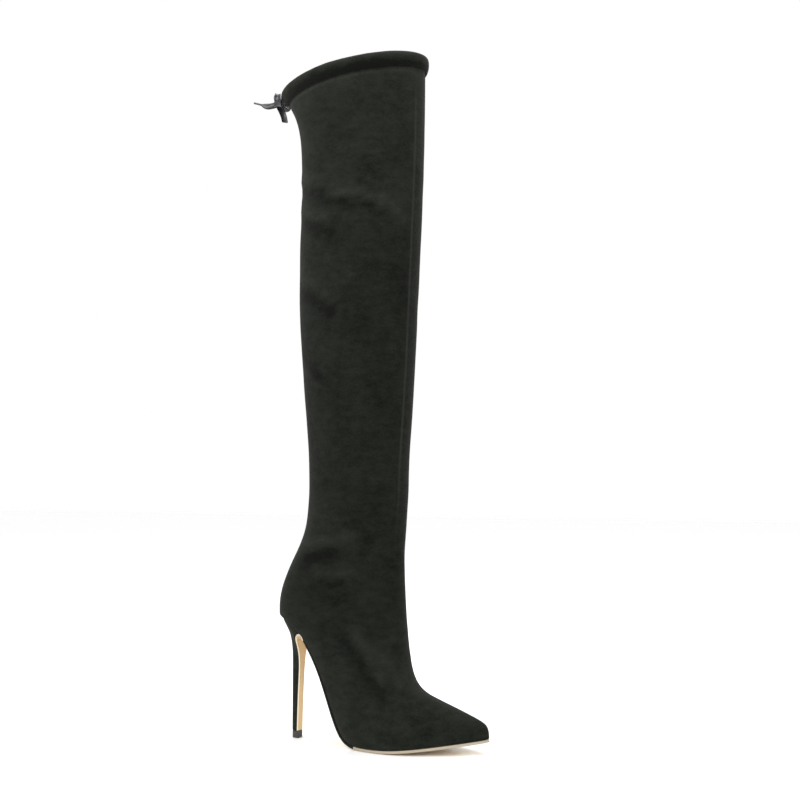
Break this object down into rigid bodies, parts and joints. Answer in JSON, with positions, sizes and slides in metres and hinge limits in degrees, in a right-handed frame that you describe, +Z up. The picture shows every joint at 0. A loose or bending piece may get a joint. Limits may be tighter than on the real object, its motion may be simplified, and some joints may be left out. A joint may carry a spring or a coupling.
{
  "type": "thigh high boot",
  "caption": "Thigh high pull-on boot for a right foot with a pointed toe, tall covered stiletto heel, thin sole and a drawstring casing round the collar, tied with a ribbon bow at the back.",
  "frame": {"origin": "middle of the flat face under the top lift, on the ground", "axes": "+X to the toe, +Y to the inner side of the leg, +Z up along the shaft"},
  "size_m": [0.2539, 0.104, 0.6646],
  "materials": {
    "suede": "matt suede with a short nap",
    "sole_leather": "smooth tan sole leather",
    "insole_board": "matt sock leather",
    "top_lift_rubber": "hard dark rubber",
    "satin": "satin ribbon"
  },
  "bodies": {
    "root": {"upper": "suede", "casing": "suede", "heel": "suede", "outsole": "sole_leather", "insole": "insole_board", "top_lift": "top_lift_rubber", "ribbon_knot": "satin", "ribbon_lead_outer": "satin", "ribbon_lead_inner": "satin", "ribbon_loop_outer": "satin", "ribbon_loop_inner": "satin", "ribbon_end_back": "satin", "ribbon_end_down": "satin"}
  },
  "joints": []
}
